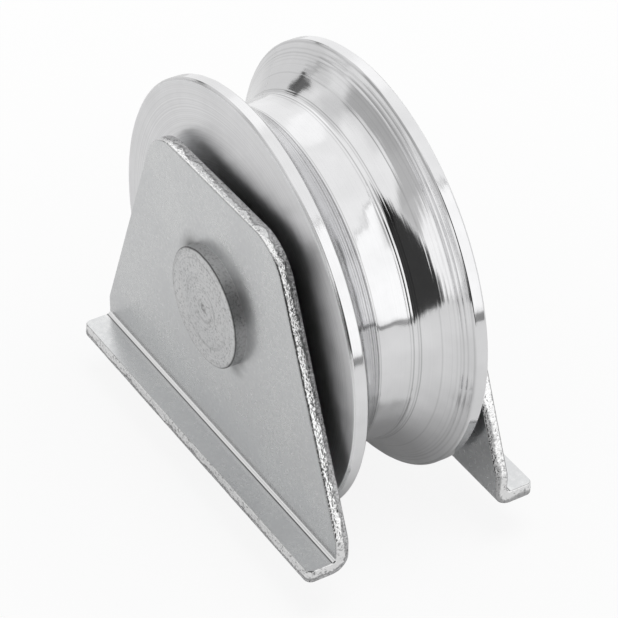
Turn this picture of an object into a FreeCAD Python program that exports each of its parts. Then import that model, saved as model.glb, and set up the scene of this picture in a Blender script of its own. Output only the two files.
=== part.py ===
import FreeCAD, Part
import math
import os

# Bracketed V groove wheel: a turned steel wheel on a deep groove ball bearing, carried on a
# headed pin between two L brackets.
# Millimetres. The wheel turns about Y, Z is up, X runs along the brackets' base flanges.
# The origin is the wheel's centre. "near" is the -Y side, with the pin's turned head.

os.makedirs("parts", exist_ok=True)

Vector = FreeCAD.Vector
ORIGIN = Vector(0, 0, 0)
ALONG_X = Vector(1, 0, 0)
ALONG_Y = Vector(0, 1, 0)
ALONG_Z = Vector(0, 0, 1)
TOLERANCE = 1e-4

# Wheel
wheel_diameter = 100.0
wheel_width = 33.5
rim_land = 3.0                  # each rim's width at the full diameter, with its outer chamfer
rim_chamfer = 0.6
rim_inner_break = (0.55, 0.35)  # the rim's inner edge: along the axle, and down from the rim
flank_steps = ((1.7, 58.0), (2.6, 48.0))   # turned cuts down from the rim: width, angle to the axle
flank_angle = 41.0              # last cut, down to the root
flank_blend = 3.0               # radius between two cuts of the flank
root_width = 9.4
root_crown = 0.35               # how far the root's middle lies under its edges
root_curve = 37.6               # radius along the root's middle
root_blend = 1.2
bore_shoulder = 3.0             # radial height of the lip that the bearing stops against
bore_chamfer = 0.8

# Deep groove ball bearing, two shields
bearing_bore = 20.0
bearing_diameter = 47.0
bearing_width = 14.0
bearing_corner = 1.0
ball_count = 8
ball_diameter = 7.938
race_conformity = 0.52          # race radius over ball diameter
inner_shoulder = 4.4            # radial wall of the inner ring at its shoulders
outer_shoulder = 4.2
race_clearance = 0.05
pocket_clearance = 0.10
cage_sheet = 0.8
cage_band = 4.0                 # radial width of the cage's strip
rivet_diameter = 1.1
rivet_head_diameter = 1.9
rivet_head_height = 0.35
shield_sheet = 0.5
shield_seat_depth = 1.2         # how far in from the ring's side the shield seats
shield_seat_height = 1.4        # radial height of the shield's seat in the outer ring
shield_gap = 0.35               # between the shield's inner edge and the inner ring
shield_joggle = 0.7             # the shield's outer rim stands out by this
shield_bend = 0.3

# Retaining ring in the wheel's bore
circlip_thickness = 1.75
circlip_width = 3.4
circlip_groove_depth = 1.25
circlip_mouth = 14.0            # width of the ring's gap between its ears
circlip_ear = 5.2
circlip_ear_hole = 2.5

# Pin
pin_head_diameter = 28.2
pin_head_height = 2.8
pin_head_chamfer = 0.4
pin_centre_mark = 1.6
pin_centre_depth = 0.6
riveted_head_diameter = 26.0
riveted_head_height = 3.0
riveted_head_round = 1.8
spacer_wall = 3.5
spacer_edge_round = 0.3

# Brackets
sheet = 3.2
side_gap = 2.2                  # from the wheel's side to a bracket
bracket_length = 103.4
bracket_top_length = 52.4       # at the top edge, before its corners are rounded
bracket_top_height = 31.2       # above the axle
bracket_foot_depth = 39.2       # the flanges' underside, below the axle
bracket_upright_side = 8.2      # height of the short upright sides over the underside
bracket_top_round = 12.0
bracket_side_round = 5.0
bend_inner_radius = 1.0
flange_reach = 7.2              # beyond the bracket's outer face
flange_corner_round = 1.8
sheared_edge_round = 0.35

# Fits, radial
press_allowance = 0.01
pin_ring_fit = 0.02
pin_bracket_fit = 0.05
spacer_fit = 0.10
circlip_fit = 0.15
rivet_fit = 0.03

# Worked out from the sizes above
wheel_radius = wheel_diameter / 2
wheel_half = wheel_width / 2
bearing_half = bearing_width / 2
ball_radius = ball_diameter / 2
bearing_outer_radius = bearing_diameter / 2
pitch_radius = (bearing_bore + bearing_diameter) / 4
inner_race_radius = pitch_radius - ball_radius - race_clearance
outer_race_radius = pitch_radius + ball_radius + race_clearance
race_curve = race_conformity * ball_diameter
inner_land_radius = bearing_bore / 2 + inner_shoulder
outer_land_radius = bearing_outer_radius - outer_shoulder
shaft_radius = bearing_bore / 2 - pin_ring_fit
wheel_bore_radius = bearing_outer_radius + press_allowance
bracket_inner_face = wheel_half + side_gap
bracket_outer_face = bracket_inner_face + sheet
ball_step = 360.0 / ball_count


def unit(vector):
    """A copy of the vector, one long."""
    return Vector(vector).normalize()


def outline(corners):
    """A closed wire through the corners, each given as (point, rounding radius)."""
    starts = []
    ends = []
    middles = []
    count = len(corners)
    for index, (point, radius) in enumerate(corners):
        before = unit(corners[index - 1][0] - point)
        after = unit(corners[(index + 1) % count][0] - point)
        half_angle = before.getAngle(after) / 2
        if radius == 0:
            starts.append(point)
            ends.append(point)
            middles.append(None)
            continue
        setback = radius / math.tan(half_angle)
        centre = point + unit(before + after) * (radius / math.sin(half_angle))
        starts.append(point + before * setback)
        ends.append(point + after * setback)
        middles.append(centre + unit(point - centre) * radius)
    edges = []
    for index in range(count):
        if middles[index] is not None:
            edges.append(Part.Arc(starts[index], middles[index], ends[index]).toShape())
        following = starts[(index + 1) % count]
        if ends[index].distanceToPoint(following) > TOLERANCE:
            edges.append(Part.LineSegment(ends[index], following).toShape())
    return Part.Wire(edges)


def turned(profile):
    """A solid of revolution about Y from (radius, y, rounding) corners."""
    corners = []
    for radius, y, rounding in profile:
        corners.append((Vector(radius, y, 0), rounding))
    return Part.Face(outline(corners)).revolve(ORIGIN, ALONG_Y, 360)


def tube(inner_radius, outer_radius, y_low, y_high):
    """A plain round tube or disc about Y."""
    body = Part.makeCylinder(outer_radius, y_high - y_low, Vector(0, y_low, 0), ALONG_Y)
    if inner_radius > 0:
        hole = Part.makeCylinder(inner_radius, y_high - y_low, Vector(0, y_low, 0), ALONG_Y)
        body = body.cut(hole)
    return body


def far_side(shape):
    """The mirror image of a near-side shape, on the far side of the wheel."""
    return shape.mirror(ORIGIN, ALONG_Y)


def half_groove():
    """The groove's corners on the far side, from the rim down to the root's edge."""
    y = wheel_half - rim_land
    radius = wheel_radius
    corners = [(radius, y, 0.0)]
    y -= rim_inner_break[0]
    radius -= rim_inner_break[1]
    corners.append((radius, y, 0.0))
    for width, angle in flank_steps:
        y -= width
        radius -= width * math.tan(math.radians(angle))
        corners.append((radius, y, flank_blend))
    width = y - root_width / 2
    radius -= width * math.tan(math.radians(flank_angle))
    corners.append((radius, root_width / 2, root_blend))
    return corners


def make_wheel():
    """One turned piece: V groove outside, stepped bore inside."""
    far_groove = half_groove()
    near_groove = [(radius, -y, rounding) for radius, y, rounding in reversed(far_groove)]
    root_middle = far_groove[-1][0] - root_crown
    lip_radius = bearing_outer_radius - bore_shoulder
    groove_radius = wheel_bore_radius + circlip_groove_depth
    groove_side = -bearing_half - circlip_thickness - press_allowance
    profile = [
        (wheel_radius - rim_chamfer, wheel_half, 0.0),
        (wheel_radius, wheel_half - rim_chamfer, 0.0),
    ]
    profile += far_groove
    profile.append((root_middle, 0.0, root_curve))
    profile += near_groove
    profile += [
        (wheel_radius, -wheel_half + rim_chamfer, 0.0),
        (wheel_radius - rim_chamfer, -wheel_half, 0.0),
        (wheel_bore_radius + bore_chamfer, -wheel_half, 0.0),
        (wheel_bore_radius, -wheel_half + bore_chamfer, 0.0),
        (wheel_bore_radius, groove_side, 0.0),
        (groove_radius, groove_side, 0.0),
        (groove_radius, -bearing_half, 0.0),
        (wheel_bore_radius, -bearing_half, 0.0),
        (wheel_bore_radius, bearing_half, 0.0),
        (lip_radius, bearing_half, 0.0),
        (lip_radius, wheel_half - bore_chamfer, 0.0),
        (lip_radius + bore_chamfer, wheel_half, 0.0),
    ]
    return turned(profile)


def race_cutter(race_radius, outward):
    """The ring of the race's section that is cut from a bearing ring."""
    centre_radius = race_radius - outward * race_curve
    return Part.makeTorus(centre_radius, race_curve, ORIGIN, ALONG_Y)


def make_inner_ring():
    """Inner ring with its race, fast on the pin."""
    bore_radius = bearing_bore / 2
    ring = turned([
        (bore_radius, -bearing_half, bearing_corner),
        (inner_land_radius, -bearing_half, 0.0),
        (inner_land_radius, bearing_half, 0.0),
        (bore_radius, bearing_half, bearing_corner),
    ])
    return ring.cut(race_cutter(inner_race_radius, -1))


def make_outer_ring():
    """Outer ring with its race and a stepped seat for a shield on each side."""
    seat_radius = outer_land_radius + shield_seat_height
    seat_y = bearing_half - shield_seat_depth
    ring = turned([
        (bearing_outer_radius, -bearing_half, bearing_corner),
        (bearing_outer_radius, bearing_half, bearing_corner),
        (seat_radius, bearing_half, 0.0),
        (seat_radius, seat_y, 0.0),
        (outer_land_radius, seat_y, 0.0),
        (outer_land_radius, -seat_y, 0.0),
        (seat_radius, -seat_y, 0.0),
        (seat_radius, -bearing_half, 0.0),
    ])
    return ring.cut(race_cutter(outer_race_radius, 1))


def make_shield():
    """Near shield: a thin ring, dished so that its rim stands out from its flat."""
    rim_radius = outer_land_radius + shield_seat_height - press_allowance
    inner_radius = inner_land_radius + shield_gap
    seat_y = -bearing_half + shield_seat_depth
    step_radius = outer_land_radius - shield_sheet
    rim_y = seat_y - shield_joggle + shield_sheet
    return turned([
        (inner_radius, seat_y, 0.0),
        (inner_radius, seat_y - shield_sheet, 0.0),
        (step_radius, seat_y - shield_sheet, shield_bend),
        (step_radius + shield_joggle, rim_y - shield_sheet, shield_bend),
        (rim_radius, rim_y - shield_sheet, 0.0),
        (rim_radius, seat_y, 0.0),
    ])


def ball_centre(index):
    """The centre of one ball, the first straight above the axle."""
    angle = math.radians(index * ball_step)
    return Vector(pitch_radius * math.sin(angle), 0, pitch_radius * math.cos(angle))


def make_ball(index):
    """One bearing ball in its place."""
    return Part.makeSphere(ball_radius, ball_centre(index), ALONG_Y)


def rivet_places():
    """Points on the pitch circle halfway between the balls."""
    places = []
    for index in range(ball_count):
        angle = math.radians((index + 0.5) * ball_step)
        places.append(Vector(pitch_radius * math.sin(angle), 0, pitch_radius * math.cos(angle)))
    return places


def make_cage_half():
    """Far half of the pressed cage: a flat strip that bulges into a round pocket over each ball."""
    inner_radius = pitch_radius - cage_band / 2
    outer_radius = pitch_radius + cage_band / 2
    pocket_radius = ball_radius + pocket_clearance
    bulge_radius = pocket_radius + cage_sheet
    half = tube(inner_radius, outer_radius, 0, cage_sheet)
    band = tube(inner_radius, outer_radius, 0, bulge_radius)
    bulges = []
    pockets = []
    for index in range(ball_count):
        centre = ball_centre(index)
        bulges.append(Part.makeSphere(bulge_radius, centre, ALONG_Y).common(band))
        pockets.append(Part.makeSphere(pocket_radius, centre, ALONG_Y))
    half = half.fuse(bulges).cut(pockets)
    holes = []
    for place in rivet_places():
        radius = rivet_diameter / 2 + rivet_fit
        holes.append(Part.makeCylinder(radius, 2 * cage_sheet, place, ALONG_Y))
    return half.cut(holes).removeSplitter()


def make_cage_rivets():
    """The small rivets that hold the cage's halves together."""
    rivets = []
    for place in rivet_places():
        shank_start = place - ALONG_Y * cage_sheet
        shank = Part.makeCylinder(rivet_diameter / 2, 2 * cage_sheet, shank_start, ALONG_Y)
        heads = []
        for side in (-1, 1):
            head_start = place + ALONG_Y * (side * cage_sheet)
            direction = ALONG_Y * side
            heads.append(Part.makeCone(rivet_head_diameter / 2, rivet_diameter / 2,
                                       rivet_head_height, head_start, direction))
        rivets.append(shank.fuse(heads).removeSplitter())
    return Part.makeCompound(rivets)


def make_circlip():
    """Retaining ring: an open flat ring with a holed ear at each end, sprung into the bore."""
    outer_radius = wheel_bore_radius + circlip_groove_depth - circlip_fit
    inner_radius = outer_radius - circlip_width
    y_low = -bearing_half - circlip_thickness
    y_high = -bearing_half
    ring = tube(inner_radius, outer_radius, y_low, y_high)
    ear_radius = circlip_ear / 2
    ear_x = circlip_mouth / 2 + ear_radius
    mouth = Part.makeBox(circlip_mouth, circlip_thickness, outer_radius,
                         Vector(-circlip_mouth / 2, y_low, 0))
    ring = ring.cut(mouth)
    ears = []
    holes = []
    for side in (-1, 1):
        centre = Vector(side * ear_x, y_low, inner_radius - ear_radius)
        ears.append(Part.makeCylinder(ear_radius, circlip_thickness, centre, ALONG_Y))
        holes.append(Part.makeCylinder(circlip_ear_hole / 2, circlip_thickness, centre, ALONG_Y))
    return ring.fuse(ears).cut(holes).removeSplitter()


def make_pin():
    """The axle: flat turned head near, riveted head far, one piece."""
    head_radius = pin_head_diameter / 2
    closed_radius = riveted_head_diameter / 2
    head_face = -bracket_outer_face - pin_head_height
    closed_face = bracket_outer_face + riveted_head_height
    pin = turned([
        (0.0, head_face, 0.0),
        (head_radius - pin_head_chamfer, head_face, 0.0),
        (head_radius, head_face + pin_head_chamfer, 0.0),
        (head_radius, -bracket_outer_face, 0.0),
        (shaft_radius, -bracket_outer_face, 0.0),
        (shaft_radius, bracket_outer_face, 0.0),
        (closed_radius, bracket_outer_face, 0.0),
        (closed_radius, closed_face, riveted_head_round),
        (0.0, closed_face, 0.0),
    ])
    mark = Part.makeCone(pin_centre_mark / 2, 0, pin_centre_depth, Vector(0, head_face, 0), ALONG_Y)
    return pin.cut(mark)


def make_near_spacer():
    """Tube between the near bracket and the bearing's inner ring."""
    bore_radius = shaft_radius + spacer_fit
    return turned([
        (bore_radius, -bracket_inner_face, 0.0),
        (bore_radius, -bearing_half, 0.0),
        (bore_radius + spacer_wall, -bearing_half, spacer_edge_round),
        (bore_radius + spacer_wall, -bracket_inner_face, spacer_edge_round),
    ])


def bracket_section():
    """The near bracket's L section in the YZ plane, bent with an even sheet thickness."""
    outer = -bracket_outer_face
    inner = -bracket_inner_face
    foot = -bracket_foot_depth
    tip = outer - flange_reach
    outer_bend = bend_inner_radius + sheet
    corners = [
        (Vector(0, inner, bracket_top_height), 0.0),
        (Vector(0, inner, foot), outer_bend),
        (Vector(0, tip, foot), 0.0),
        (Vector(0, tip, foot + sheet), 0.0),
        (Vector(0, outer, foot + sheet), bend_inner_radius),
        (Vector(0, outer, bracket_top_height), 0.0),
    ]
    return outline(corners)


def bracket_elevation():
    """The bracket's outline seen along the axle: short upright sides, sloped sides, round top."""
    foot = -bracket_foot_depth
    half_length = bracket_length / 2
    half_top = bracket_top_length / 2
    shoulder = foot + bracket_upright_side
    y = -bracket_outer_face - flange_reach
    corners = [
        (Vector(-half_length, y, foot), 0.0),
        (Vector(half_length, y, foot), 0.0),
        (Vector(half_length, y, shoulder), bracket_side_round),
        (Vector(half_top, y, bracket_top_height), bracket_top_round),
        (Vector(-half_top, y, bracket_top_height), bracket_top_round),
        (Vector(-half_length, y, shoulder), bracket_side_round),
    ]
    return outline(corners)


def bracket_plan():
    """The bracket's outline seen from above: a strip with rounded corners at the flange's tip."""
    half_length = bracket_length / 2
    tip = -bracket_outer_face - flange_reach
    z = -bracket_foot_depth
    corners = [
        (Vector(-half_length, tip, z), flange_corner_round),
        (Vector(half_length, tip, z), flange_corner_round),
        (Vector(half_length, -bracket_inner_face, z), 0.0),
        (Vector(-half_length, -bracket_inner_face, z), 0.0),
    ]
    return outline(corners)


def make_near_bracket():
    """Cut and bent sheet: a tapered upright with the pin's hole, and a narrow base flange."""
    height = bracket_foot_depth + bracket_top_height
    depth = sheet + flange_reach
    bent = Part.Face(bracket_section()).extrude(ALONG_X * bracket_length)
    bent.translate(ALONG_X * (-bracket_length / 2))
    front = Part.Face(bracket_elevation()).extrude(ALONG_Y * depth)
    top = Part.Face(bracket_plan()).extrude(ALONG_Z * height)
    bracket = bent.common(front).common(top)
    hole_radius = shaft_radius + pin_bracket_fit
    hole_start = Vector(0, -bracket_outer_face, 0)
    bracket = bracket.cut(Part.makeCylinder(hole_radius, sheet, hole_start, ALONG_Y))
    return round_sheared_edges(bracket.removeSplitter())


def round_sheared_edges(bracket):
    """Break the sheared edge all round the bent sheet, on both of its skins."""
    edges = []
    for edge in bracket.Edges:
        box = edge.BoundBox
        straight = edge.Curve.TypeId == "Part::GeomLine"
        through_sheet = straight and abs(edge.Length - sheet) < TOLERANCE
        bend_line = straight and abs(box.XLength - bracket_length) < TOLERANCE
        centred = abs(box.XMin + box.XMax) + abs(box.ZMin + box.ZMax) < TOLERANCE
        at_hole = centred or box.XLength + box.ZLength < TOLERANCE
        if not (through_sheet or bend_line or at_hole):
            edges.append(edge)
    return bracket.makeFillet(sheared_edge_round, edges)


def save(name, shape):
    """Write one node."""
    shape.exportStep("parts/" + name + ".step")
    print(name, round(shape.Volume, 1), len(shape.Solids), shape.isValid())


near_bracket = make_near_bracket()
near_spacer = make_near_spacer()
near_shield = make_shield()
far_cage_half = make_cage_half()

save("bracket_near", near_bracket)
save("bracket_far", far_side(near_bracket))
save("axle_pin", make_pin())
save("spacer_near", near_spacer)
save("spacer_far", far_side(near_spacer))
save("wheel", make_wheel())
save("retaining_ring", make_circlip())
save("bearing_inner_ring", make_inner_ring())
save("bearing_outer_ring", make_outer_ring())
save("shield_near", near_shield)
save("shield_far", far_side(near_shield))
save("cage_half_near", far_side(far_cage_half))
save("cage_half_far", far_cage_half)
save("cage_rivets", make_cage_rivets())
for number in range(ball_count):
    save("ball_" + str(number + 1), make_ball(number))
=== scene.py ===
import math

import bmesh
import bpy
import numpy as np
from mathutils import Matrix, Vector


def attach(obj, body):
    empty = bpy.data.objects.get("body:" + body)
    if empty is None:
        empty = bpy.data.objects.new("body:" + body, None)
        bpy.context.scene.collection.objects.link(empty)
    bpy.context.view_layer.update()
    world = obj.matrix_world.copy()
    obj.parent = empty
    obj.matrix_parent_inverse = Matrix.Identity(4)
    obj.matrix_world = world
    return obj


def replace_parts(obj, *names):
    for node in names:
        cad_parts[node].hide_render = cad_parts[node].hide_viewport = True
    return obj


# Looks of the bracketed V groove wheel. The frame is the solids' own: metres, Y along the axle with
# the turned pin head at -Y, X along the base flanges, Z up. Shapes are worked out in millimetres.

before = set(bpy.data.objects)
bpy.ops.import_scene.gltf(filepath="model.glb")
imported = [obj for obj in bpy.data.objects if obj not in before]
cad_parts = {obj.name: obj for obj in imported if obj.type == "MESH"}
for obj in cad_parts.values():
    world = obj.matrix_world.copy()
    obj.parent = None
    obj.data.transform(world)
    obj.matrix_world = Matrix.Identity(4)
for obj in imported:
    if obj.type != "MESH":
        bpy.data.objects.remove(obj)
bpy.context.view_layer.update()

MM = 0.001

# Sizes in millimetres, the same as the solids'
WHEEL_RADIUS = 50.0
WHEEL_HALF = 16.75
RIM_LAND = 3.0
RIM_CHAMFER = 0.6
RIM_INNER_BREAK = (0.40, 0.45)
FLANK_SLOPES = (32.0, 60.0)       # the flank's slope in degrees at the root and at the rim
ROOT_HALF = 4.7
ROOT_RADIUS = 40.04
ROOT_CROWN = 0.3
ROOT_BLEND = 0.7
BORE_RADIUS = 23.51
BORE_CHAMFER = 0.8
LIP_RADIUS = 20.5
BEARING_HALF = 7.0
CLIP_GROOVE = (24.76, -8.76)      # radius, and the side nearer the wheel's near face

SHEET = 3.2
PLATE_OUTER = 22.15               # |y| of a bracket's outer face
PLATE_HOLE = 10.03
PLATE_HALF_LENGTH = 51.7
PLATE_HALF_TOP = 26.2
PLATE_TOP = 31.2
PLATE_TOP_ROUND = 12.0
PLATE_SIDE_ROUND = 5.0
PLATE_SHOULDER = -31.0
FLANGE_TOP = -36.0
FLANGE_TIP = 29.35
FLANGE_ROUND = 1.8
BEND_RADIUS = 1.0
EDGE_ROUND = 0.35

SHAFT_RADIUS = 9.98
HEAD_RADIUS = 14.1
HEAD_HEIGHT = 2.8
HEAD_CHAMFER = 0.25
CENTRE_MARK = (0.8, 0.6)          # radius, depth
CLOSED_RADIUS = 13.0
CLOSED_HEIGHT = 3.0
CLOSED_ROUND = 1.8

# fine ridges that the turning tool left in the groove: y, half width, height
TOOL_RINGS = (
    (-8.80, 0.20, 0.030), (-7.80, 0.20, 0.045), (-6.75, 0.25, 0.060),
    (-5.95, 0.16, 0.040), (-5.10, 0.24, 0.065), (-4.30, 0.14, 0.025),
    (3.35, 0.12, 0.022), (4.02, 0.14, 0.045), (4.50, 0.09, -0.018),
    (5.05, 0.12, 0.022), (5.50, 0.12, 0.026), (9.05, 0.12, 0.016),
    (9.45, 0.12, -0.012), (10.4, 0.13, 0.012), (11.1, 0.13, 0.020),
    (11.6, 0.13, -0.020), (12.0, 0.13, 0.040), (12.6, 0.13, 0.028),
)
# narrow cuts with dark hair lines painted along them in place of the dark reflections their ridges catch: y,
# half width, darkness
PAINTED_DARK_LINES = (
    (-13.35, 0.12, 0.20), (-8.80, 0.22, 0.12), (-7.80, 0.20, 0.24), (-6.75, 0.26, 0.48),
    (-5.95, 0.15, 0.32), (-5.10, 0.25, 0.58), (-4.30, 0.12, 0.35), (3.35, 0.08, 0.30),
    (4.02, 0.10, 0.55), (5.10, 0.08, 0.35), (5.50, 0.09, 0.45), (8.95, 0.08, 0.20),
    (10.4, 0.08, 0.06), (11.1, 0.09, 0.10), (11.6, 0.09, 0.12), (12.0, 0.10, 0.20),
    (12.55, 0.10, 0.15), (13.35, 0.12, 0.20),
)
NEAR_FLANK_PAINTED_SHADE = (10.5, 3.0, 0.32)    # painted shade: the near flank is painted greyer towards its rim: from |y|, over, darkness
WHEEL_AROUND = 240                # points round the wheel, the pin and the floor
PIN_AROUND = 192
FLOOR_AROUND = 96
GROOVE_STEP = 0.14                # spacing of the section's points in the groove
WAVES = (0.016, 6.0)              # the cut surface's own waves: height, length

DISH = (0.08, 0.8)                # the bracket's dip round the pin's head: depth, width
EDGE_FALL = (0.19, 0.0, 0.07)     # the edge falls back by this at the outer skin, mid edge, inner skin
EDGE_PARTS = 12                   # points across the flat part of the edge
FAR_TORN = 0.35                   # the far bracket was cut by a fresher punch and tore less
TORN_FROM = 1.9                   # the sheared edge is burnished this deep, then torn
BRACKET_COLUMNS = 221             # points along the bend and the flange
# painted shade: dark lines painted along the bend: place across it, half width, darkness
PAINTED_BEND_LINES = ((0.10, 0.38, 0.95), (0.97, 0.35, 0.35))
# painted contact shade beside the near head: direction, spread, reach, darkness
CONTACT_SHADE_PATCHES = ((-50, 17, 1.7, 0.8), (138, 13, 1.5, 0.75))
# turning marks on the pin's face, with painted shade round its rim edge and in its centre mark: radius, half
# width, direction, spread, darkness
HEAD_MARKS_AND_PAINTED_SHADE = (
    (14.0, 0.20, 0, 900, 0.9), (13.1, 0.15, -70, 60, 0.3), (11.8, 0.25, 20, 50, 0.22),
    (9.6, 0.3, 170, 70, 0.22), (7.2, 0.3, -60, 60, 0.22), (5.0, 0.25, 60, 50, 0.26),
    (3.4, 0.22, 150, 80, 0.36), (2.1, 0.25, -90, 70, 0.36), (0.5, 0.4, 0, 900, 0.7),
)
FLOOR = -50.0                     # the wheel's lowest line
TABLE_RADIUS = 330.0

# Numpy shapes


def grain(points, size, seed, waves=24):
    """Smooth random heights of about one: the sum of plane waves, each about one size long."""
    chance = np.random.default_rng(seed)
    ways = chance.normal(size=(waves, 3))
    ways /= np.linalg.norm(ways, axis=1, keepdims=True)
    lengths = size * chance.uniform(0.7, 1.4, waves)
    phases = chance.uniform(0, 2 * np.pi, waves)
    turns = points @ (ways / lengths[:, None]).T * 2 * np.pi + phases
    return np.sin(turns).sum(axis=-1) * math.sqrt(2 / waves)


def rounded(corners, closed=False, arc_points=6, margin=0.06, step=4.0):
    """Points of a profile through (u, v, radius) corners: at each corner an arc of that radius,
    centre = corner + (unit before + unit after) / |..| * radius / sin(half angle), and on each
    straight run a point close to either end and others a step apart."""
    xy = np.array([c[:2] for c in corners], float)
    radii = [c[2] for c in corners]
    arcs = []
    for i, (corner, radius) in enumerate(zip(xy, radii)):
        at_end = not closed and i in (0, len(corners) - 1)
        if at_end or radius == 0:
            arcs.append(corner[None])
            continue
        before = xy[i - 1] - corner
        after = xy[(i + 1) % len(xy)] - corner
        before /= np.hypot(*before)
        after /= np.hypot(*after)
        half = math.acos(np.clip(before @ after, -1, 1)) / 2
        middle = (before + after) / np.hypot(*(before + after))
        centre = corner + middle * radius / math.sin(half)
        sweep = np.linspace(-1, 1, arc_points) * (math.pi / 2 - half)
        along = (after - before) / np.hypot(*(after - before))
        arcs.append(centre + radius * (np.cos(sweep)[:, None] * -middle + np.sin(sweep)[:, None] * along))
    runs = []
    for i, arc in enumerate(arcs):
        runs.append(arc)
        if not closed and i == len(arcs) - 1:
            break
        start, end = arc[-1], arcs[(i + 1) % len(arcs)][0]
        length = np.hypot(*(end - start))
        if length > 4 * margin:
            parts = np.linspace(margin, length - margin, max(2, int(length / step) + 1)) / length
            runs.append(start + parts[:, None] * (end - start))
        if length < 1e-6:
            runs[-1] = arc[:-1]
    return np.concatenate(runs)


def grid_faces(rows, columns, wrap_rows=False, wrap_columns=False, first=0):
    """Quads of a rows x columns grid of points, numbered row by row from first."""
    i = np.arange(rows if wrap_rows else rows - 1)[:, None]
    j = np.arange(columns if wrap_columns else columns - 1)[None, :]
    low, high = i * columns, (i + 1) % rows * columns
    right = (j + 1) % columns
    quads = np.stack([low + j, low + right, high + right, high + j], axis=-1)
    return quads.reshape(-1, 4) + first


def piece(name, points, faces, body, material, attributes=None):
    """A piece from points in millimetres: doubles merged, faces turned outwards, shaded smooth,
    riding on its body."""
    mesh = bpy.data.meshes.new(name)
    mesh.from_pydata(np.asarray(points) * MM, [], [tuple(face) for face in faces])
    for key, values in (attributes or {}).items():
        layer = mesh.attributes.new(key, "FLOAT", "POINT")
        layer.data.foreach_set("value", np.asarray(values, np.float32).ravel())
    bm = bmesh.new()
    bm.from_mesh(mesh)
    bmesh.ops.remove_doubles(bm, verts=bm.verts, dist=1e-7)
    bmesh.ops.recalc_face_normals(bm, faces=bm.faces)
    bm.to_mesh(mesh)
    bm.free()
    mesh.polygons.foreach_set("use_smooth", np.ones(len(mesh.polygons), bool))
    mesh.materials.append(material)
    thing = bpy.data.objects.new(name, mesh)
    bpy.context.scene.collection.objects.link(thing)
    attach(thing, body)
    return thing


def turned(profile, around):
    """Points of a surface of revolution about Y: (radius sin t, y, radius cos t) for each profile
    point (radius, y) and each of the angles t all round."""
    turn = np.arange(around) / around * 2 * np.pi
    radius, y = profile[:, 0:1], profile[:, 1:2]
    return np.stack([radius * np.sin(turn), y + 0 * turn, radius * np.cos(turn)], axis=-1)


# Materials


def colour(code):
    """Linear red, green, blue and alpha of an sRGB hex colour."""
    parts = np.array([int(code[i:i + 2], 16) for i in (1, 3, 5)]) / 255
    linear = np.where(parts <= 0.04045, parts / 12.92, ((parts + 0.055) / 1.055) ** 2.4)
    return (*linear.tolist(), 1.0)


def add(tree, kind, settings=None, **links):
    """Adds a node. Settings are its own properties or its sockets' values; links are sockets, with
    spaces in a socket's name written as underscores."""
    node = tree.nodes.new("ShaderNode" + kind)
    for key, value in (settings or {}).items():
        if isinstance(key, str) and hasattr(node, key):
            setattr(node, key, value)
        else:
            node.inputs[key].default_value = value
    for key, source in links.items():
        number = key.lstrip("i")
        target = node.inputs[int(number)] if number.isdigit() else node.inputs[key.replace("_", " ")]
        tree.links.new(source, target)
    return node


def new_material(name):
    """An empty node material and its tree."""
    material = bpy.data.materials.new(name)
    material.use_nodes = True
    material.node_tree.nodes.clear()
    return material, material.node_tree


def finish_metal(tree, base, roughness, normal):
    """A metal surface from a colour socket, a roughness socket and a bump."""
    surface = add(tree, "BsdfPrincipled", {"Metallic": 1.0},
                  Base_Color=base, Roughness=roughness, Normal=normal)
    add(tree, "OutputMaterial", Surface=surface.outputs["BSDF"])


def spread(tree, source, low, high, from_low=0.3, from_high=0.7):
    """A value mapped from one range to another."""
    settings = {"From Min": from_low, "From Max": from_high, "To Min": low, "To Max": high}
    return add(tree, "MapRange", settings, Value=source).outputs["Result"]


def shade(tree, source, dark, light):
    """A colour between two, each a hex colour or a socket."""
    mix = add(tree, "Mix", {"data_type": "RGBA"})
    for number, end in ((6, dark), (7, light)):
        if isinstance(end, str):
            mix.inputs[number].default_value = colour(end)
        else:
            tree.links.new(end, mix.inputs[number])
    tree.links.new(source, mix.inputs[0])
    return mix.outputs[2]


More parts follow.
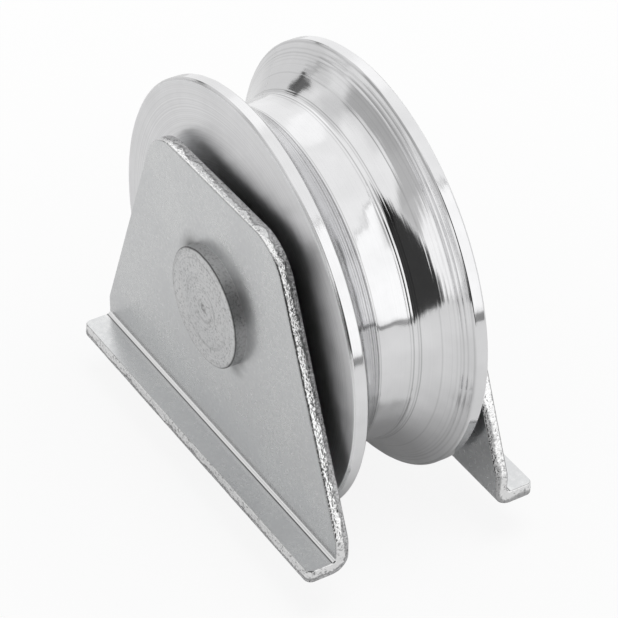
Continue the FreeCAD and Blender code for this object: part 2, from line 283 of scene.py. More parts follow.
def zinc_sheet():
    """Zinc plated rolled sheet: the plating dulls the steel to a pale satin grey with soft cloudy
    patches a few millimetres wide and a fine crystalline grain. Sheared edges are coarse and
    bright."""
    material, tree = new_material("zinc_plated_sheet")
    place = add(tree, "TexCoord").outputs["Object"]
    cloud = add(tree, "TexNoise", {"Scale": 1 / (14 * MM), "Detail": 2.0}, Vector=place).outputs["Fac"]
    fleck = add(tree, "TexNoise", {"Scale": 1 / (1.1 * MM), "Detail": 4.0, "Roughness": 0.7},
                Vector=place).outputs["Fac"]
    grit = add(tree, "TexNoise", {"Scale": 1 / (0.35 * MM), "Detail": 2.0}, Vector=place).outputs["Fac"]
    chips = add(tree, "TexNoise", {"Scale": 1 / (0.65 * MM), "Detail": 1.0, "Roughness": 0.6},
                Vector=place).outputs["Fac"]
    sheared = add(tree, "Attribute", {"attribute_name": "sheared"}).outputs["Fac"]
    skin_height = add(tree, "Math", {"operation": "MULTIPLY_ADD", 1: 0.35}, i0=grit, i2=fleck).outputs[0]
    skin_bump = add(tree, "Bump", {"Strength": 0.18, "Distance": 0.05 * MM},
                    Height=skin_height).outputs["Normal"]
    torn = add(tree, "Attribute", {"attribute_name": "torn"}).outputs["Fac"]
    edge_strength = add(tree, "Math", {"operation": "MULTIPLY", 1: 0.8}, i0=torn).outputs[0]
    edge_strength = add(tree, "Math", {"operation": "MULTIPLY_ADD", 1: 0.17},
                        i0=sheared, i2=edge_strength).outputs[0]
    bump = add(tree, "Bump", {"Distance": 0.50 * MM},
               Height=chips, Strength=edge_strength, Normal=skin_bump).outputs["Normal"]
    mottle = add(tree, "Math", {"operation": "MULTIPLY_ADD", 1: 0.4}, i0=cloud, i2=fleck).outputs[0]
    # painted contact shade beside the near pin head
    painted_contact_shade = add(tree, "Attribute", {"attribute_name": "painted_contact_shade"}).outputs["Fac"]
    base = shade(tree, spread(tree, mottle, 0, 1, 0.6, 0.9), "#D8D9DA", "#E2E3E3")
    base = shade(tree, painted_contact_shade, base, "#3A3A3A")
    # sheared edge: bright burnished band, grey torn band, a dark crack between and a burr at the skins
    pits = add(tree, "TexNoise", {"Scale": 1 / (0.7 * MM), "Detail": 4.0, "Roughness": 0.7},
               Vector=place).outputs["Fac"]
    pit = add(tree, "Math", {"operation": "MULTIPLY"},
              i0=spread(tree, pits, 0.8, 0.0, 0.36, 0.46), i1=sheared).outputs[0]
    base = shade(tree, sheared, base, "#F8F8F8")
    base = shade(tree, torn, base, "#CDCDCE")
    base = shade(tree, pit, base, "#7E7E7F")
    for edge, strength, dark in ((torn, 2.2, "#4A4A4B"), (sheared, 1.6, "#5A5A5B")):
        rest = add(tree, "Math", {"operation": "SUBTRACT", 0: 1.0}, i1=edge).outputs[0]
        line = add(tree, "Math", {"operation": "MULTIPLY"}, i0=rest, i1=edge).outputs[0]
        line = add(tree, "Math", {"operation": "MULTIPLY", 1: strength}, i0=line).outputs[0]
        base = shade(tree, line, base, dark)
    # painted shade in dark lines along the bend
    painted_bend_shade = add(tree, "Attribute", {"attribute_name": "painted_bend_shade"}).outputs["Fac"]
    pressed_and_highlight = add(tree, "Attribute", {"attribute_name": "pressed_and_highlight"}).outputs["Fac"]
    # painted highlight: the bend's outer skin is lightened; it is also made smoother
    base = shade(tree, pressed_and_highlight, base, "#F4F4F4")
    base = shade(tree, painted_bend_shade, base, "#2A2A2B")
    smooth = add(tree, "Math", {"operation": "MAXIMUM"}, i0=pressed_and_highlight, i1=sheared).outputs[0]
    rough = add(tree, "Mix", {"data_type": "FLOAT", 3: 0.16},
                i0=smooth, i2=spread(tree, mottle, 0.31, 0.25, 0.6, 0.9)).outputs[0]
    rubbed = add(tree, "Attribute", {"attribute_name": "rubbed"}).outputs["Fac"]
    rough = add(tree, "Mix", {"data_type": "FLOAT", 3: 0.32}, i0=torn, i2=rough).outputs[0]
    rough = add(tree, "Mix", {"data_type": "FLOAT", 3: 0.46}, i0=rubbed, i2=rough).outputs[0]
    finish_metal(tree, base, rough, bump)
    return material


def turned_zinc(name, dark, light, groove_rough, side_rough, specks=0.0):
    """Turned steel under thin bright zinc: fine rings left by the tool run round the wheel, tight
    and faint in the groove, satin on the sides. The eye sees them as hair lines that stretch a
    reflection across the groove."""
    material, tree = new_material(name)
    place = add(tree, "TexCoord").outputs["Object"]
    run = add(tree, "Attribute", {"attribute_name": "run"}).outputs["Fac"]
    satin = add(tree, "Attribute", {"attribute_name": "satin"}).outputs["Fac"]
    tight = {"noise_dimensions": "1D", "Scale": 1 / 0.35, "Detail": 3.0, "Roughness": 0.7}
    rings = add(tree, "TexNoise", tight, W=run).outputs["Fac"]
    waves = add(tree, "TexNoise", {"noise_dimensions": "1D", "Scale": 1 / 2.2, "Detail": 1.0},
                W=run).outputs["Fac"]
    cloud = add(tree, "TexNoise", {"Scale": 1 / (11 * MM), "Detail": 3.0, "Roughness": 0.6},
                Vector=place).outputs["Fac"]
    fleck = add(tree, "TexNoise", {"Scale": 1 / (0.9 * MM), "Detail": 3.0}, Vector=place).outputs["Fac"]
    height = add(tree, "Math", {"operation": "MULTIPLY_ADD", 1: 3.0}, i0=waves, i2=rings).outputs[0]
    ring_bump = add(tree, "Bump", {"Strength": 0.35, "Distance": 0.02 * MM}, Height=height).outputs["Normal"]
    fleck_strength = add(tree, "Math", {"operation": "MULTIPLY_ADD", 1: 0.22, 2: 0.03}, i0=satin).outputs[0]
    bump = add(tree, "Bump", {"Distance": 0.04 * MM},
               Height=fleck, Strength=fleck_strength, Normal=ring_bump).outputs["Normal"]
    streak = add(tree, "Math", {"operation": "MULTIPLY_ADD", 1: 0.7, 2: 0.12}, i0=satin).outputs[0]
    streak = add(tree, "Math", {"operation": "MULTIPLY"},
                 i0=streak, i1=spread(tree, rings, -0.5, 0.5)).outputs[0]
    tone = add(tree, "Math", {"operation": "ADD"}, i0=streak, i1=cloud).outputs[0]
    base = shade(tree, spread(tree, tone, 0, 1, 0.2, 0.8), dark, light)
    dots = add(tree, "TexNoise", {"Scale": 1 / (0.6 * MM), "Detail": 3.0, "Roughness": 0.7},
               Vector=place).outputs["Fac"]
    base = shade(tree, spread(tree, dots, 0, specks, 0.5, 0.72), base, "#5E5E5F")
    # marks and painted shade: on the wheel, painted dark lines in the groove and a greyer near flank; on the
    # pin, turning marks with painted shade at the face's rim edge, centre and side
    marks_and_painted_shade = add(tree, "Attribute", {"attribute_name": "marks_and_painted_shade"}).outputs["Fac"]
    base = shade(tree, marks_and_painted_shade, base, "#2E2E2F")
    level = add(tree, "MapRange", {"To Min": groove_rough, "To Max": side_rough}, Value=satin).outputs["Result"]
    wander = spread(tree, cloud, -0.03, 0.03)
    rough = add(tree, "Math", {"operation": "ADD"}, i0=level, i1=wander).outputs[0]
    finish_metal(tree, base, rough, bump)
    return material


def plain_steel(name, dark, light, roughness, grain_mm, depth_mm):
    """Bare machined steel of the hidden pieces: an even grey with a faint grain."""
    material, tree = new_material(name)
    place = add(tree, "TexCoord").outputs["Object"]
    fleck = add(tree, "TexNoise", {"Scale": 1 / (grain_mm * MM), "Detail": 3.0}, Vector=place).outputs["Fac"]
    bump = add(tree, "Bump", {"Strength": 0.4, "Distance": depth_mm * MM}, Height=fleck).outputs["Normal"]
    base = shade(tree, spread(tree, fleck, 0, 1), dark, light)
    rough = spread(tree, fleck, roughness * 0.85, roughness * 1.15)
    finish_metal(tree, base, rough, bump)
    return material


SHEET_ZINC = zinc_sheet()
WHEEL_ZINC = turned_zinc("zinc_plated_turned_wheel", "#E2E2E3", "#F1F1F2", 0.08, 0.32)
PIN_ZINC = turned_zinc("zinc_plated_turned_pin", "#D3D4D5", "#E4E4E4", 0.5, 0.32, specks=0.6)
# hidden pieces: dark and light colour, roughness, grain and its depth in millimetres; their nodes
CAD_FINISHES = {
    "turned_steel_tube": (
        ("#A9AAAB", "#B8B8B9", 0.35, 0.6, 0.02),
        ("spacer_near", "spacer_far")),
    "ground_bearing_steel": (
        ("#B4B5B6", "#BEBFC0", 0.18, 0.8, 0.006),
        ("bearing_inner_ring", "bearing_outer_ring")),
    "polished_ball_steel": (
        ("#C6C6C8", "#CFCFD0", 0.08, 2.0, 0.002),
        tuple("ball_%d" % (k + 1) for k in range(8))),
    "pressed_cage_steel": (
        ("#9D9C9A", "#ABAAA8", 0.34, 0.7, 0.02),
        ("cage_half_near", "cage_half_far", "cage_rivets")),
    "pressed_shield_steel": (
        ("#A3A3A3", "#B0B0B0", 0.30, 0.7, 0.015),
        ("shield_near", "shield_far")),
    "oiled_spring_steel": (
        ("#3C3B3A", "#4A4948", 0.35, 0.5, 0.02),
        ("retaining_ring",)),
}
for finish, (look, nodes) in CAD_FINISHES.items():
    steel = plain_steel(finish, *look)
    for name in nodes:
        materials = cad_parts[name].data.materials
        materials.clear()
        materials.append(steel)


# Wheel


def groove_section():
    """The groove's section from rim to rim, an even step apart: (radius, y). The root is a shallow
    arc, radius growing as y squared, and on the flanks the slope grows evenly from root to rim."""
    mouth = WHEEL_HALF - RIM_LAND - RIM_INNER_BREAK[0]
    y = np.linspace(0, mouth, 1500)
    share = np.clip((y - ROOT_HALF) / (mouth - ROOT_HALF), 0, 1)
    flank = np.tan(np.radians(FLANK_SLOPES[0] + (FLANK_SLOPES[1] - FLANK_SLOPES[0]) * share))
    turn = np.clip((y - ROOT_HALF) / ROOT_BLEND + 0.5, 0, 1)
    turn = turn * turn * (3 - 2 * turn)
    slope = turn * flank + (1 - turn) * 2 * ROOT_CROWN * y / ROOT_HALF ** 2
    rise = np.concatenate([[0], np.cumsum((slope[1:] + slope[:-1]) / 2 * np.diff(y))])
    rise *= (WHEEL_RADIUS - RIM_INNER_BREAK[1] - ROOT_RADIUS) / rise[-1]
    length = np.concatenate([[0], np.cumsum(np.hypot(np.diff(y), np.diff(rise)))])
    even = np.linspace(0, length[-1], int(length[-1] / GROOVE_STEP))
    half = np.stack([ROOT_RADIUS + np.interp(even, length, rise), np.interp(even, length, y)], axis=1)
    section = np.concatenate([half[:0:-1] * [1, -1], half])
    for place, half_width, height in TOOL_RINGS:
        section[:, 0] += height * np.exp(-((section[:, 1] - place) / half_width) ** 2)
    return section


def wheel_profile():
    """The wheel's closed section: the groove, then round the far rim, the stepped bore and the near
    rim: (radius, y)."""
    land = WHEEL_HALF - RIM_LAND
    mouth = (WHEEL_RADIUS - RIM_INNER_BREAK[1], land - RIM_INNER_BREAK[0], 0)
    rim = [
        mouth,
        (WHEEL_RADIUS, land, 0.3),
        (WHEEL_RADIUS, WHEEL_HALF - RIM_CHAMFER, 0.12),
        (WHEEL_RADIUS - RIM_CHAMFER, WHEEL_HALF, 0.12),
    ]
    bore = [
        (LIP_RADIUS + BORE_CHAMFER, WHEEL_HALF, 0.1),
        (LIP_RADIUS, WHEEL_HALF - BORE_CHAMFER, 0.1),
        (LIP_RADIUS, BEARING_HALF, 0.1),
        (BORE_RADIUS, BEARING_HALF, 0.1),
        (BORE_RADIUS, -BEARING_HALF, 0.05),
        (CLIP_GROOVE[0], -BEARING_HALF, 0.05),
        (CLIP_GROOVE[0], CLIP_GROOVE[1], 0.05),
        (BORE_RADIUS, CLIP_GROOVE[1], 0.05),
        (BORE_RADIUS, -WHEEL_HALF + BORE_CHAMFER, 0.1),
        (BORE_RADIUS + BORE_CHAMFER, -WHEEL_HALF, 0.1),
    ]
    near_rim = [(radius, -y, rounding) for radius, y, rounding in rim[::-1]]
    outside = rounded(rim + bore + near_rim, arc_points=7, step=4.0)
    return np.concatenate([groove_section(), outside[1:-1]])


def make_wheel():
    """Turned wheel: its section swept round the axle."""
    profile = wheel_profile()
    points = turned(profile, WHEEL_AROUND)
    in_groove = (np.abs(profile[:, 1]) < WHEEL_HALF - RIM_LAND) & (profile[:, 0] > WHEEL_RADIUS - 12)
    swell = 1 + in_groove[:, None] * WAVES[0] * grain(points, WAVES[1], 7) / profile[:, 0:1]
    points[..., [0, 2]] *= swell[..., None]
    steps = np.hypot(*(np.roll(profile, -1, axis=0) - profile).T)
    run = np.cumsum(steps) - steps
    on_side = (np.abs(profile[:, 1]) > WHEEL_HALF - 0.3) | (profile[:, 0] < LIP_RADIUS + 6)
    # painted dark reflections along the groove's cuts, and painted shade greying the near flank towards its rim
    marks_and_painted_shade = np.zeros(len(profile))
    for place, half_width, darkness in PAINTED_DARK_LINES:
        marks_and_painted_shade = np.maximum(marks_and_painted_shade, darkness * np.exp(-((profile[:, 1] - place) / half_width) ** 2))
    # painted shade on the near flank
    shade_from, shade_over, darkness = NEAR_FLANK_PAINTED_SHADE
    marks_and_painted_shade = np.maximum(marks_and_painted_shade, darkness * np.clip((-profile[:, 1] - shade_from) / shade_over, 0, 1))
    attributes = {
        "run": np.repeat(run, WHEEL_AROUND),
        "satin": np.repeat(on_side.astype(float), WHEEL_AROUND),
        "marks_and_painted_shade": np.repeat(marks_and_painted_shade * in_groove, WHEEL_AROUND),
    }
    faces = grid_faces(len(profile), WHEEL_AROUND, wrap_rows=True, wrap_columns=True)
    points = points.reshape(-1, 3)
    wheel = piece("turned_wheel", points, faces, "rolling_wheel", WHEEL_ZINC, attributes)
    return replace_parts(wheel, "wheel")


# Pin


def make_pin():
    """Pin with a turned head near and a riveted head far, turned about the axle and closed at its
    poles."""
    face, closed = -PLATE_OUTER - HEAD_HEIGHT, PLATE_OUTER + CLOSED_HEIGHT
    profile = rounded([
        (0.0, face + CENTRE_MARK[1], 0.0),
        (CENTRE_MARK[0], face, 0.12),
        (HEAD_RADIUS - HEAD_CHAMFER, face, 0.12),
        (HEAD_RADIUS, face + HEAD_CHAMFER, 0.12),
        (HEAD_RADIUS, -PLATE_OUTER + DISH[0], 0.05),
        (SHAFT_RADIUS, -PLATE_OUTER + DISH[0], 0.05),
        (SHAFT_RADIUS, PLATE_OUTER - DISH[0], 0.05),
        (CLOSED_RADIUS, PLATE_OUTER - DISH[0], 0.05),
        (CLOSED_RADIUS, closed, CLOSED_ROUND),
        (0.0, closed, 0.0),
    ], step=0.5)
    around = PIN_AROUND
    points = turned(profile[1:-1], around).reshape(-1, 3)
    radius = np.repeat(profile[1:-1, 0], around)
    depth = np.abs(points[:, 1]) - PLATE_OUTER
    # peened far head: shallow hammer marks, fading out towards the plate
    far_head = (points[:, 1] > PLATE_OUTER + 0.3) * np.clip(depth / CLOSED_HEIGHT, 0, 1)
    points[:, 1] += 0.10 * far_head * grain(points, 5.0, 11)
    # near head: the rim is a little out of round and its corner is bruised in places
    near_head = (points[:, 1] < -PLATE_OUTER - 0.3) & (radius > HEAD_RADIUS - 1.2)
    bruise = 0.05 * near_head * np.clip(grain(points, 4.0, 12) - 0.4, 0, 2)
    points[:, [0, 2]] *= (1 - bruise / np.maximum(radius, 1))[:, None]
    poles = np.array([[0, profile[0, 1], 0], [0, profile[-1, 1], 0]])
    count = len(points)
    rows = len(profile) - 2
    ring = np.arange(around)
    ahead = (ring + 1) % around
    fans = [(count, int(a), int(b)) for a, b in zip(ring, ahead)]
    last = (rows - 1) * around
    fans += [(count + 1, int(last + b), int(last + a)) for a, b in zip(ring, ahead)]
    faces = grid_faces(rows, around, wrap_columns=True).tolist() + fans
    run = np.append(radius, [0, 0])
    satin = np.ones(count + 2)
    about = np.arctan2(points[:, 0], points[:, 2])
    marks_and_painted_shade = np.zeros(count + 2)
    # turning marks, and painted shade round the face's rim edge and in its centre mark
    for place, half_width, middle_deg, spread_deg, darkness in HEAD_MARKS_AND_PAINTED_SHADE:
        apart = np.angle(np.exp(1j * (about - math.radians(middle_deg)))) / math.radians(spread_deg)
        ring = darkness * np.exp(-((radius - place) / half_width) ** 2 - apart ** 2)
        marks_and_painted_shade[:count] = np.maximum(marks_and_painted_shade[:count], ring * (points[:, 1] < face + HEAD_CHAMFER + 0.04))
    # painted shade: the head's turned side is darkened all round
    on_rim = (radius > HEAD_RADIUS - 0.02) & (points[:, 1] < -PLATE_OUTER)
    marks_and_painted_shade[:count] = np.maximum(marks_and_painted_shade[:count], 0.30 * on_rim)
    satin[:count] = ~on_rim
    pin = piece("headed_pin", np.concatenate([points, poles]), faces, "carrier", PIN_ZINC,
                {"run": run, "satin": satin, "marks_and_painted_shade": marks_and_painted_shade})
    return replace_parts(pin, "axle_pin")


# Brackets


def bent(flat, side):
    """Folds flat-sheet points (x, s, t) into the L: s runs from the flange's tip, t from the skin on
    the outside of the L. Up to the bend y = s and z = -t; in the bend the point turns about the
    bend's centre at radius + t; past it y = t and z = s. side is -1 near, 1 far."""
    x, s, t = flat.T
    flange = FLANGE_TIP - PLATE_OUTER - BEND_RADIUS
    arc = math.pi / 2 * (BEND_RADIUS + SHEET / 2)
    angle = np.clip((s - flange) / arc, 0, 1) * math.pi / 2
    past = np.maximum(s - flange - arc, 0)
    before = np.minimum(s - flange, 0)
    y = -(PLATE_OUTER + BEND_RADIUS) + before + (BEND_RADIUS + t) * np.sin(angle)
    z = FLANGE_TOP + BEND_RADIUS - (BEND_RADIUS + t) * np.cos(angle) + past
    return np.stack([x, -side * y, z], axis=1)


def make_bracket(name, node, side, seed):
    """Bracket from three grids on each skin and a band round the sheared edge.

    Upright: rings from the pin's hole to the outline, point = hole + (outline - hole) * share.
    Bend and flange: rows across the sheet. Band: each outline point moved out and through the
    sheet along a rounded edge, roughened where the sheet broke away."""
    flange = FLANGE_TIP - PLATE_OUTER - BEND_RADIUS
    arc = math.pi / 2 * (BEND_RADIUS + SHEET / 2)
    bend_end = flange + arc
    rise = bend_end - (FLANGE_TOP + BEND_RADIUS)      # s = z + rise on the upright
    half = PLATE_HALF_LENGTH - EDGE_ROUND
    slope = np.array([PLATE_HALF_TOP - PLATE_HALF_LENGTH, PLATE_TOP - PLATE_SHOULDER])
    inward = np.array([-slope[1], slope[0]]) / np.hypot(*slope)
    lean = EDGE_ROUND / abs(inward[0])                # sideways shift of the sloped side when inset
    drop = lean * abs(slope[0] / slope[1])
    top = PLATE_TOP - EDGE_ROUND
    shoulder = PLATE_SHOULDER - (EDGE_ROUND - lean) * slope[1] / slope[0]
    top_x = PLATE_HALF_TOP - lean - EDGE_ROUND * slope[0] / slope[1]
    side_chain = rounded([
        (half, bend_end, 0),
        (half, shoulder + rise, PLATE_SIDE_ROUND - EDGE_ROUND),
        (top_x, top + rise, PLATE_TOP_ROUND - EDGE_ROUND),
        (0.0, top + rise, 0),
    ], arc_points=30, step=0.45)
    upright = np.concatenate([side_chain, side_chain[-2::-1] * [-1, 1]])
    # rows across the flange and the bend
    tip_round = FLANGE_ROUND - EDGE_ROUND
    corner = np.linspace(0, math.pi / 2, 8)
    rows_s = np.concatenate([
        FLANGE_ROUND - tip_round * np.cos(corner),
        np.linspace(FLANGE_ROUND, flange - 0.5, 8)[1:],
        np.linspace(flange - 0.5, flange, 5)[1:],
        np.linspace(flange, bend_end, 33)[1:],
    ])
    rows_x = np.concatenate([half - tip_round + tip_round * np.sin(corner), np.full(len(rows_s) - 8, half)])
    share = np.linspace(-1, 1, BRACKET_COLUMNS)
    strip = np.stack([rows_x[:, None] * share, rows_s[:, None] + 0 * share], axis=-1)
    # the upright's outline closed along the bend's end, then rings down to the hole
    loop = np.concatenate([upright, strip[-1, 1:-1]])
    hole_centre = np.array([0.0, rise])
    towards = loop - hole_centre
    angles = np.arctan2(towards[:, 0], towards[:, 1])
    hole = hole_centre + PLATE_HOLE * np.stack([np.sin(angles), np.cos(angles)], axis=1)
    shares = np.concatenate([[0, 0.02], np.linspace(0.08, 0.97, 14), [0.99, 1.0]])
    rings = hole[None] + shares[:, None, None] * (loop - hole)[None]
    outline = np.concatenate([strip[0], strip[1:, -1], upright[1:], strip[-2:0:-1, 0]])
    ahead = np.roll(outline, -1, axis=0) - np.roll(outline, 1, axis=0)
    out = np.stack([ahead[:, 1], -ahead[:, 0]], axis=1)
    out /= np.linalg.norm(out, axis=1, keepdims=True)
    # band section: out from the skin's edge and through the sheet
    quarter = np.linspace(0, math.pi / 2, 5)
    rise_out, rise_in = EDGE_ROUND * np.sin(quarter), EDGE_ROUND * np.cos(quarter)
    through = np.linspace(EDGE_ROUND, SHEET - EDGE_ROUND, EDGE_PARTS + 2)[1:-1]
    section_out = np.concatenate([rise_out, np.full(EDGE_PARTS, EDGE_ROUND), rise_in])
    section_t = np.concatenate([EDGE_ROUND - rise_in, through, SHEET - EDGE_ROUND + rise_out])
    band = np.empty((len(section_t), len(outline), 3))
    fall = np.interp(section_t, [0.1, TORN_FROM, SHEET - 0.1], EDGE_FALL)
    band[..., :2] = outline[None] + out[None] * (section_out - fall)[:, None, None]
    band[..., 2] = section_t[:, None]
    # sheared band smooth, broken band rough, nothing at the skins
    broken = np.clip(section_t - 0.9, 0, 1) * np.clip((SHEET - section_t) / 0.5, 0, 1)
    edge_weight = (0.25 + broken)[:, None] * np.clip(section_out / EDGE_ROUND, 0, 1)[:, None] ** 4
    rough = grain(band, 1.8, seed) * 0.030 + grain(band, 0.7, seed + 1) * 0.016
    rough += grain(band, 9.0, seed + 2) * 0.06
    band[..., :2] += out[None] * (edge_weight * np.minimum(rough, 0.02))[..., None]
    # where the torn part starts: ragged, and earlier along the top
    ragged = 0.20 * grain(band, 6.0, seed + 3) + 0.12 * grain(band, 0.9, seed + 4)
    ragged += 0.5 * np.clip(out[:, 1], 0, 1) ** 2
    torn_edge = np.clip((section_t[:, None] - TORN_FROM + ragged) / 0.5, 0, 1)

    flats, faces, sheared = [], [], []
    count = 0
    for t in (0.0, SHEET):
        for patch, wrap in ((strip, False), (rings, True)):
            rows, across = patch.shape[:2]
            flat = np.concatenate([patch.reshape(-1, 2), np.full((rows * across, 1), t)], axis=1)
            faces.append(grid_faces(rows, across, wrap_columns=wrap, first=count))
            flats.append(flat)
            sheared.append(np.zeros(len(flat)))
            count += len(flat)
    sheared_from = count
    flats.append(band.reshape(-1, 3))
    faces.append(grid_faces(*band.shape[:2], wrap_columns=True, first=count))
    sheared.append(np.repeat(section_out / EDGE_ROUND, len(outline)))
    count += band.shape[0] * band.shape[1]
    wall = np.stack([np.column_stack([hole, np.full(len(hole), t)]) for t in (0.0, SHEET)])
    flats.append(wall.reshape(-1, 3))
    faces.append(grid_faces(2, len(hole), wrap_columns=True, first=count))
    sheared.append(np.zeros(2 * len(hole)))
    flat = np.concatenate(flats)
    from_hole = np.hypot(flat[:, 0], flat[:, 1] - rise)
    depth, width = DISH
    dip = np.exp(-np.clip((from_hole - HEAD_RADIUS) / width, 0, 9) ** 2)
    flat[:, 2] += depth * dip * (1 - flat[:, 2] / SHEET)
    about = np.arctan2(flat[:, 0], flat[:, 1] - rise)
    # painted contact shade on the near plate beside the pin's head
    painted_contact_shade = np.zeros(len(flat))
    for turn_deg, spread_deg, reach, darkness in CONTACT_SHADE_PATCHES if side == -1 else ():
        apart = np.angle(np.exp(1j * (about - math.radians(turn_deg)))) / math.radians(spread_deg)
        painted_contact_shade += darkness * np.exp(-apart ** 2 - ((from_hole - HEAD_RADIUS) / reach) ** 2)
    outer = flat[:, 2] < SHEET / 2
    # painted shade: dark lines along the bend's outer skin
    painted_bend_shade = np.zeros(len(flat))
    for place, half_width, darkness in PAINTED_BEND_LINES:
        apart = (flat[:, 1] - flange - place * arc) / half_width
        painted_bend_shade = np.maximum(painted_bend_shade, darkness * np.exp(-apart ** 2))
    # the bend's outer skin: smoother, with a painted highlight
    in_bend = np.clip(1.5 - np.abs(flat[:, 1] - flange - arc / 2) / arc * 2, 0, 1)
    sheared = np.concatenate(sheared)
    torn = np.zeros(len(flat))
    torn[sheared_from:sheared_from + torn_edge.size] = torn_edge.ravel() * (1 if side == -1 else FAR_TORN)
    attributes = {
        "sheared": sheared,
        "torn": torn * sheared,
        "painted_bend_shade": painted_bend_shade * outer * (sheared == 0),
        "pressed_and_highlight": in_bend * outer,
        "painted_contact_shade": painted_contact_shade * outer,
        "rubbed": 0.7 * np.exp(-np.maximum(from_hole - HEAD_RADIUS, 0) ** 2 / 9) * outer,
    }
    points = bent(flat, side)
    bracket = piece(name, points, np.concatenate(faces), "carrier", SHEET_ZINC, attributes)
    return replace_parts(bracket, node)


make_wheel()
make_pin()
make_bracket("bent_bracket_near", "bracket_near", -1, 41)
make_bracket("bent_bracket_far", "bracket_far", 1, 21)

# Floor, light and camera


def make_floor():
    """Round pale floor under the wheel: rings of points (r cos t, r sin t)."""
    radii = np.array([0.001, 80, 160, TABLE_RADIUS])
    turn = np.arange(FLOOR_AROUND) / FLOOR_AROUND * 2 * np.pi
    across, along = radii[:, None] * np.cos(turn), radii[:, None] * np.sin(turn)
    points = np.stack([across, along, FLOOR - 0.02 + 0 * across], axis=-1)
    mesh = bpy.data.meshes.new("floor")
    mesh.from_pydata(points.reshape(-1, 3) * MM, [], grid_faces(4, FLOOR_AROUND, wrap_columns=True).tolist())
    material, tree = new_material("white_paper_floor")
    white = add(tree, "Emission", {"Color": (1, 1, 1, 1), "Strength": 1.0})
    path = add(tree, "LightPath")
    # to the camera the floor is white with a faint shadow, and fades into the white beyond its rim
    place = add(tree, "TexCoord").outputs["Object"]
    away = add(tree, "VectorMath", {"operation": "LENGTH"}, i0=place).outputs["Value"]
    fade = spread(tree, away, 0.90, 1.0, 0.08, TABLE_RADIUS * MM * 0.9)
    # painted shadow: the paper's colour darkens towards the middle, under the object
    paper_with_painted_shadow = shade(tree, spread(tree, away, 0, 1, 0.04, 0.16), "#CECECE", "#E8E8E8")
    lit = add(tree, "BsdfDiffuse", Color=paper_with_painted_shadow)
    seen = add(tree, "Math", {"operation": "MULTIPLY"}, i0=path.outputs["Is Camera Ray"], i1=fade)
    shown = add(tree, "Math", {"operation": "MULTIPLY_ADD", 1: 0.08},
                i0=path.outputs["Is Glossy Ray"], i2=seen.outputs[0])
    mix = add(tree, "MixShader", Fac=shown.outputs[0], i1=lit.outputs[0], i2=white.outputs[0])
    add(tree, "OutputMaterial", Surface=mix.outputs[0])
    mesh.materials.append(material)
    floor = bpy.data.objects.new("floor", mesh)
    bpy.context.scene.collection.objects.link(floor)


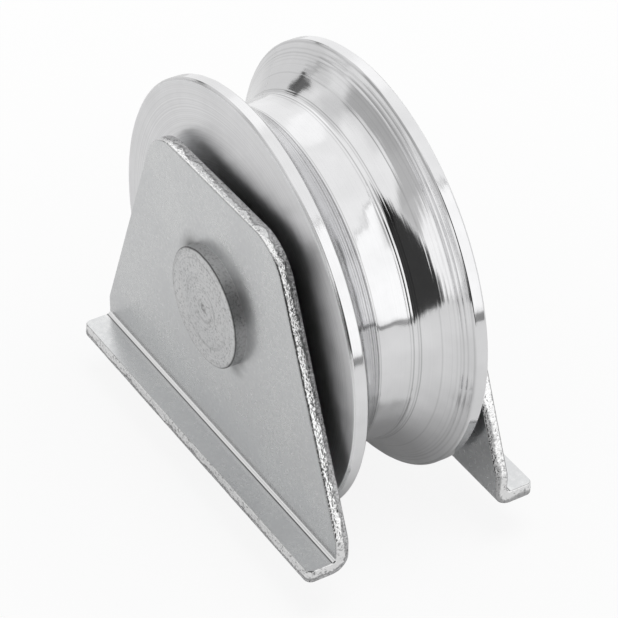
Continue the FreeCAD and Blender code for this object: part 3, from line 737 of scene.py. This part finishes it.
def make_world():
    """Pale studio all round: white to the camera, plain pale light for the floor, and in the metal
    two softboxes, grey walls and one dark gap in front of the object."""
    world = bpy.data.worlds.new("studio")
    world.use_nodes = True
    bpy.context.scene.world = world
    tree = world.node_tree
    tree.nodes.clear()
    way = add(tree, "TexCoord").outputs["Generated"]

    def between(value, low, high, soft):
        """One between the two values, falling to none over the soft width outside them."""
        up = {"interpolation_type": "SMOOTHSTEP", "From Min": low - soft, "From Max": low}
        down = {"interpolation_type": "SMOOTHSTEP", "From Min": high, "From Max": high + soft}
        down.update({"To Min": 1.0, "To Max": 0.0})
        rise = add(tree, "MapRange", up, Value=value).outputs["Result"]
        fall = add(tree, "MapRange", down, Value=value).outputs["Result"]
        return add(tree, "Math", {"operation": "MULTIPLY"}, i0=rise, i1=fall).outputs[0]

    parts = add(tree, "SeparateXYZ", Vector=way)
    ahead = add(tree, "Math", {"operation": "MULTIPLY", 1: -1.0}, i0=parts.outputs["Y"]).outputs[0]
    azimuth = add(tree, "Math", {"operation": "ARCTAN2"}, i0=parts.outputs["X"], i1=ahead).outputs[0]
    elevation = add(tree, "Math", {"operation": "ARCSINE"}, i0=parts.outputs["Z"]).outputs[0]

    def card(az_low, az_high, az_soft, el_low, el_high, el_soft, shade_depth):
        """What is left of the light behind a dark card that spans these degrees."""
        across = between(azimuth, *(math.radians(v) for v in (az_low, az_high, az_soft)))
        upright = between(elevation, *(math.radians(v) for v in (el_low, el_high, el_soft)))
        cover = add(tree, "Math", {"operation": "MULTIPLY"}, i0=across, i1=upright).outputs[0]
        return add(tree, "Math", {"operation": "MULTIPLY_ADD", 1: -shade_depth, 2: 1.0}, i0=cover).outputs[0]

    def off_plane(normal):
        """Sine of the angle between the ray and a plane through the object, above it for plus."""
        aim = np.array(normal, float)
        aim /= np.linalg.norm(aim)
        return add(tree, "VectorMath", {"operation": "DOT_PRODUCT", 1: tuple(aim)}, i0=way).outputs["Value"]

    def panel(normals, soft_deg):
        """One inside the softbox whose edges are these planes."""
        cover = None
        for normal in normals:
            soft = math.radians(soft_deg)
            side = spread(tree, off_plane(normal), 0, 1, -soft, soft)
            if cover is not None:
                side = add(tree, "Math", {"operation": "MULTIPLY"}, i0=cover, i1=side).outputs[0]
            cover = side
        return cover

    upper_edge, table_edge = (0.825, -0.541, -0.164), (0.202, -0.168, 0.965)
    right_panel = panel((upper_edge, table_edge, (-0.139, 0.990, 0.0)), 0.8)
    left_panel = panel(((0.704, -0.180, -0.687), table_edge, (-0.438, -0.899, 0.0)), 0.8)
    level = add(tree, "Math", {"operation": "MULTIPLY_ADD", 1: 0.17, 2: 0.97}, i0=right_panel).outputs[0]
    level = add(tree, "Math", {"operation": "MULTIPLY_ADD", 1: 0.10}, i0=left_panel, i2=level).outputs[0]
    frame_line = between(off_plane(upper_edge), -0.008, 0.008, 0.010)
    on_right = spread(tree, azimuth, 0, -0.55, math.radians(96), math.radians(104))
    frame_line = add(tree, "Math", {"operation": "MULTIPLY_ADD", 2: 1.0}, i0=frame_line, i1=on_right).outputs[0]
    level = add(tree, "Math", {"operation": "MULTIPLY"}, i0=level, i1=frame_line).outputs[0]
    cards = (
        card(26, 98, 3, -30, 50, 8, 0.96),         # gap between the softboxes, where the camera stands
        card(26, 110, 8, 40, 66, 8, 0.50),         # grey ceiling over it
        card(98, 150, 6, -15.0, -8.7, 0.9, 0.70),  # far edge of the table under the right softbox
        card(-105, -64, 12, -40, 16, 10, 0.25),    # greyer left wall
        card(-84, -72, 2, 8, 15, 4, 0.8),          # seam in it
        card(-84, -50, 4, 7, 9, 2, 0.25),
        card(-90, -50, 8, 30, 56, 10, 0.18),       # grey ceiling on the left
        card(-135, -102, 8, 30, 48, 6, -0.13),     # lamp over the far left
        card(-60, -16, 8, 5, 36, 8, 0.13),          # slightly greyer wall beside the left softbox
        card(-42, 20, 8, 17, 30, 5, 0.46),         # grey wall over the left softbox
    )
    dome = level
    for one in cards:
        dome = add(tree, "Math", {"operation": "MULTIPLY"}, i0=dome, i1=one).outputs[0]
    path = add(tree, "LightPath")
    plain = add(tree, "Background", {"Color": (1, 1, 1, 1), "Strength": 0.42})
    studio = add(tree, "Background", {"Color": (1, 1, 1, 1)}, Strength=dome)
    white = add(tree, "Background", {"Color": (1, 1, 1, 1), "Strength": 1.0})
    seen = add(tree, "MixShader", Fac=path.outputs["Is Glossy Ray"], i1=plain.outputs[0], i2=studio.outputs[0])
    mix = add(tree, "MixShader", Fac=path.outputs["Is Camera Ray"], i1=seen.outputs[0], i2=white.outputs[0])
    add(tree, "OutputWorld", Surface=mix.outputs[0])


def make_lamp(name, place, aim, size, watts, in_metal=True):
    """A square soft lamp, in metres, aimed at a point, mirrored in the metal or not."""
    data = bpy.data.lights.new(name, "AREA")
    data.shape, data.size, data.energy = "SQUARE", size, watts
    lamp = bpy.data.objects.new(name, data)
    lamp.visible_glossy = in_metal
    lamp.location = place
    direction = np.array(aim, float) - np.array(place, float)
    lamp.rotation_euler = Vector(direction).to_track_quat("-Z", "Y").to_euler()
    bpy.context.scene.collection.objects.link(lamp)


def make_camera():
    """Camera at the photo's own place, from the rims and edges fitted as circles and lines."""
    data = bpy.data.cameras.new("camera")
    data.sensor_width = 36.0
    data.lens = 173.104
    data.clip_start, data.clip_end = 0.05, 20.0
    camera = bpy.data.objects.new("camera", data)
    camera.location = (0.454740, -0.272686, 0.393253)
    camera.rotation_euler = tuple(math.radians(v) for v in (52.745107, -0.102775, 58.936432))
    bpy.context.scene.collection.objects.link(camera)
    bpy.context.scene.camera = camera


make_floor()
make_world()
make_lamp("top_softbox", (0.10, 0.05, 0.85), (0, 0, 0), 0.5, 5.0, in_metal=False)
make_camera()
bpy.context.scene.view_settings.view_transform = "Standard"
